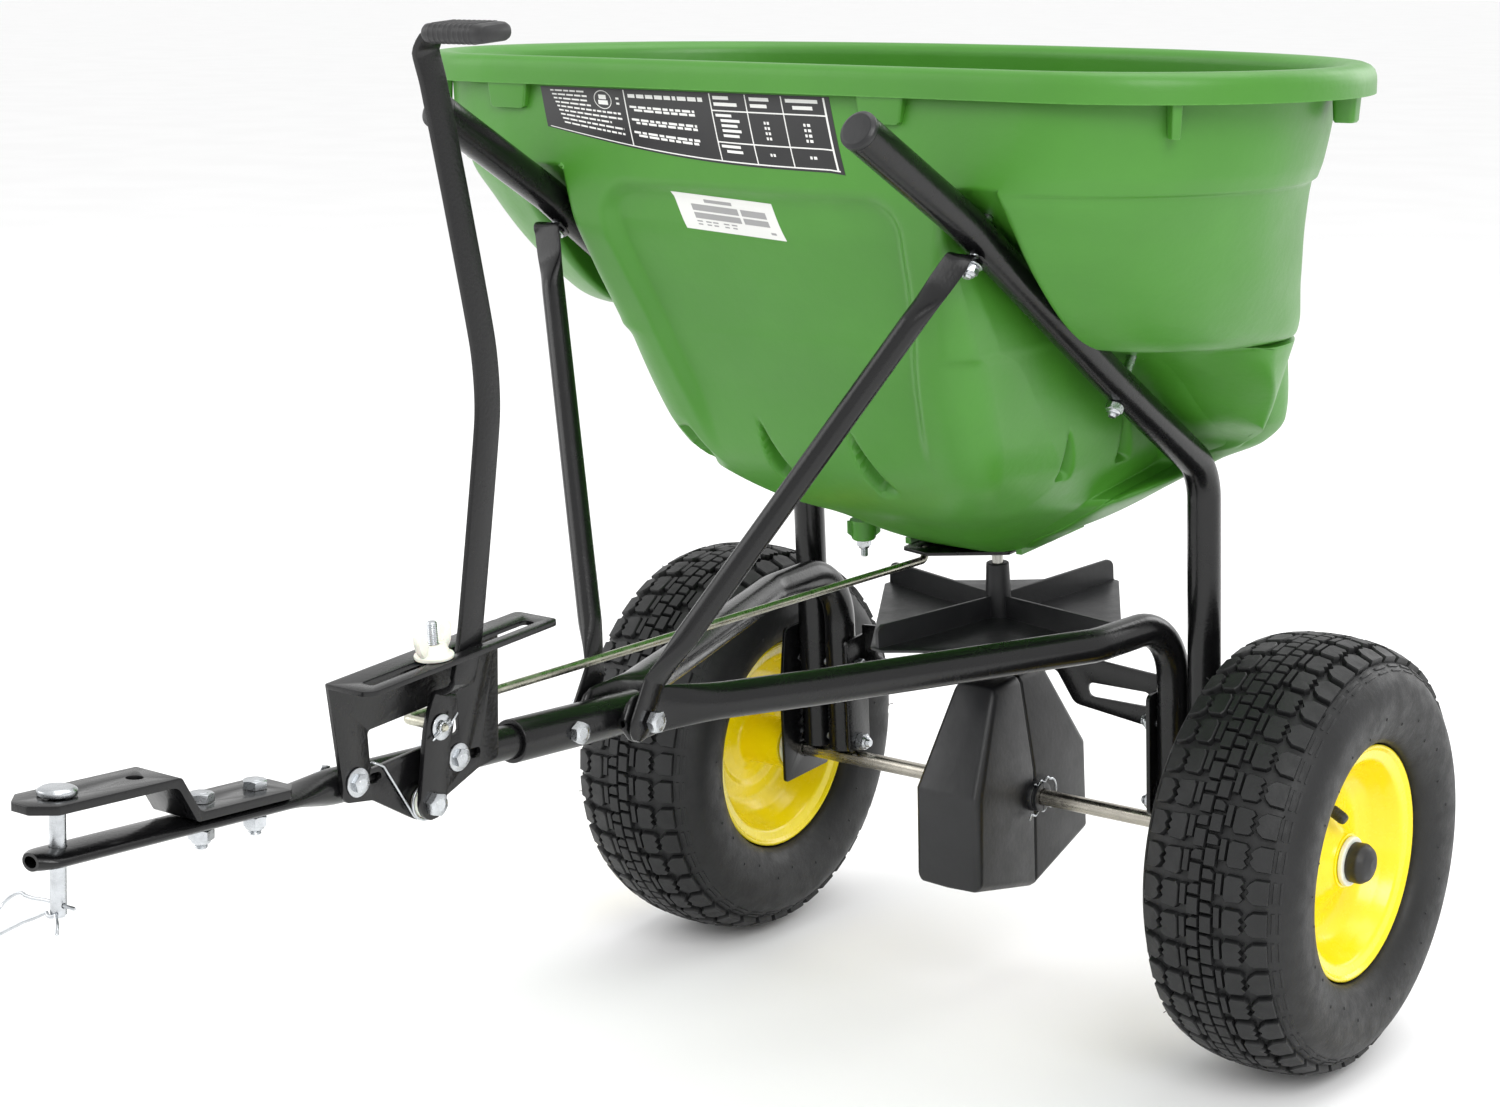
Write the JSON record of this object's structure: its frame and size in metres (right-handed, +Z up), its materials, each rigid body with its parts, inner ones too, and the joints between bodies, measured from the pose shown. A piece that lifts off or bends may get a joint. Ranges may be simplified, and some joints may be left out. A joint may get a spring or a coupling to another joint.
{
  "type": "tow-behind spreader",
  "caption": "Tow-behind broadcast spreader: moulded hopper on a tube chassis, two pneumatic wheels, wheel-driven gearbox and impeller, flow lever and clevis hitch.",
  "frame": {"origin": "on the ground, under the middle of the machine's length and width; the axle is 0.396 m behind it", "axes": "+Z up, -Y forwards to the hitch, +X to the machine's left, the side with the driven wheel"},
  "size_m": [0.724, 1.1189, 0.7806],
  "materials": {
    "powder_coat": "black powder coat, semi-gloss",
    "rim_paint": "yellow enamel, gloss",
    "zinc_plate": "zinc plated",
    "bare_steel": "bare drawn steel",
    "green_plastic": "moulded polyethylene, semi-matte",
    "black_plastic": "moulded nylon, satin",
    "nylon": "natural nylon, satin",
    "tyre_rubber": "moulded tread rubber",
    "soft_rubber": "soft moulded rubber"
  },
  "bodies": {
    "chassis": {"leg_tube_left": "powder_coat", "leg_tube_right": "powder_coat", "frame_tube_left": "powder_coat", "frame_tube_right": "powder_coat", "strut_left": "powder_coat", "strut_right": "powder_coat", "axle_plate_left": "powder_coat", "axle_plate_right": "powder_coat", "gearbox_crossbar": "powder_coat", "hitch_tube": "powder_coat", "tongue_sleeve": "powder_coat", "hitch_plate": "powder_coat", "flow_bracket": "powder_coat", "frame_bolt_left_upper": "zinc_plate", "frame_bolt_left_lower": "zinc_plate", "frame_bolt_right_upper": "zinc_plate", "frame_bolt_right_lower": "zinc_plate", "strut_bolt_left": "zinc_plate", "strut_bolt_right": "zinc_plate", "hopper_bolt_left": "zinc_plate", "hopper_bolt_right": "zinc_plate", "sleeve_bolt": "zinc_plate", "tongue_bolt": "zinc_plate", "bracket_bolt_front": "zinc_plate", "bracket_bolt_rear": "zinc_plate", "hitch_bolt_front": "zinc_plate", "hitch_bolt_rear": "zinc_plate", "lever_pivot_bolt": "zinc_plate", "lever_spring": "zinc_plate", "hopper": "green_plastic", "gearbox_front": "black_plastic", "gearbox_rear": "black_plastic", "shaft_bushing": "black_plastic", "leg_cap_left": "black_plastic", "leg_cap_right": "black_plastic", "pivot_washer": "nylon"},
    "drive_axle": {"axle": "bare_steel", "crown_gear": "black_plastic", "wheel_rim_left": "rim_paint", "tyre_left": "tyre_rubber", "valve_stem_left": "soft_rubber", "hub_bushing_left": "nylon", "axle_cap_left": "soft_rubber", "axle_cap_right": "soft_rubber"},
    "idler_wheel": {"wheel_rim_right": "rim_paint", "tyre_right": "tyre_rubber", "valve_stem_right": "soft_rubber", "hub_bushing_right": "nylon"},
    "impeller_drive": {"impeller_shaft": "bare_steel", "pinion_gear": "black_plastic", "impeller": "black_plastic", "agitator": "bare_steel"},
    "lever": {"flow_lever": "powder_coat", "lever_grip": "soft_rubber"},
    "gate": {"gate_slide": "powder_coat"},
    "rod": {"control_rod": "bare_steel"},
    "rate_stop": {"stop_screw": "zinc_plate", "wing_nut": "nylon"},
    "pin": {"hitch_pin": "zinc_plate"},
    "pin_clip": {"hitch_pin_clip": "zinc_plate"}
  },
  "joints": [
    {"name": "axle_spin", "type": "hinge", "parent": "chassis", "child": "drive_axle", "pos_m": [0, 0.396, 0.165], "axis": [1, 0, 0], "continuous": true},
    {"name": "idler_spin", "type": "hinge", "parent": "chassis", "child": "idler_wheel", "pos_m": [-0.264, 0.396, 0.165], "axis": [1, 0, 0], "continuous": true},
    {"name": "impeller_spin", "type": "hinge", "parent": "chassis", "child": "impeller_drive", "pos_m": [0, 0.396, 0.165], "axis": [0, -0.0732, 0.9973], "continuous": true},
    {"name": "lever_swing", "type": "hinge", "parent": "chassis", "child": "lever", "pos_m": [0.023, -0.27796, 0.32407], "axis": [1, 0, 0], "range_deg": [-20, 3]},
    {"name": "gate_travel", "type": "slide", "parent": "chassis", "child": "gate", "axis": [0, 0.9973, 0.0732], "range_m": [-0.003, 0.0155]},
    {"name": "rod_swing", "type": "hinge", "parent": "gate", "child": "rod", "pos_m": [-0.03, 0.32481, 0.36984], "axis": [1, 0, 0], "range_deg": [-0.15, 0.65]},
    {"name": "stop_travel", "type": "slide", "parent": "chassis", "child": "rate_stop", "axis": [0, 0.9973, 0.0732], "range_m": [-0.048, 0]},
    {"name": "pin_lift", "type": "slide", "parent": "chassis", "child": "pin", "axis": [0, 0.0523, 0.9986], "range_m": [0, 0.012]},
    {"name": "clip_pull", "type": "slide", "parent": "pin", "child": "pin_clip", "axis": [-1, 0, 0], "range_m": [0, 0.035]}
  ],
  "couplings": [
    {"joint": "impeller_spin", "follows": "axle_spin", "ratio": -5},
    {"joint": "gate_travel", "follows": "lever_swing", "m_per_rad": -0.0435},
    {"joint": "rod_swing", "follows": "lever_swing", "ratio": -0.0303}
  ]
}
